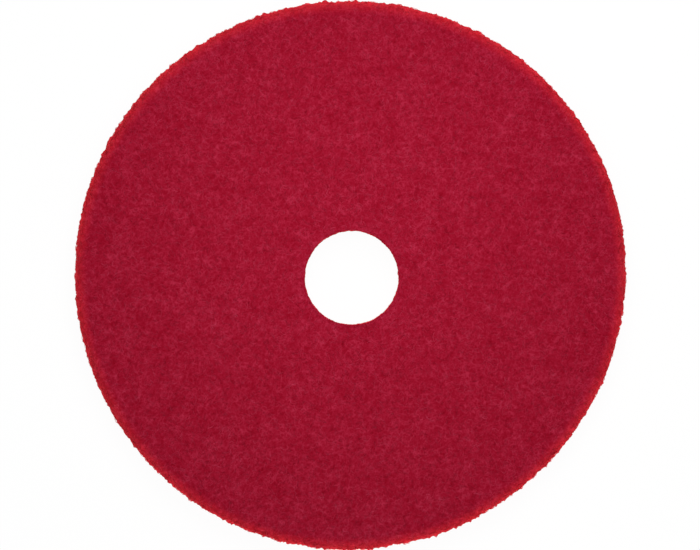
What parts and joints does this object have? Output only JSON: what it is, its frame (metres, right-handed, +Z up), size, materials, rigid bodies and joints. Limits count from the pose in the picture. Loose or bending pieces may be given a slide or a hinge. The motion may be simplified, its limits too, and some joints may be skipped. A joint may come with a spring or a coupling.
{
  "type": "rotary floor machine pad",
  "caption": "Round non-woven floor pad with a round centre hole, coated on both faces, that a rotary floor machine's pad driver carries to buff hard floors.",
  "frame": {"origin": "centre of the pad's lower face, on the axis it spins about", "axes": "+Z up along the spin axis, from the lower working face to the upper one; +X and +Y lie in the face and are alike, because the pad is round"},
  "size_m": [0.4826, 0.4826, 0.0254],
  "materials": {
    "coated_face": "crimson resin-bonded crimped fibre with fine abrasive, matte with small glints",
    "open_web": "orange-red crimped fibre, lightly bonded, open and matte"
  },
  "bodies": {
    "root": {"upper_working_face": "coated_face", "core_web": "open_web", "lower_working_face": "coated_face"}
  },
  "joints": []
}
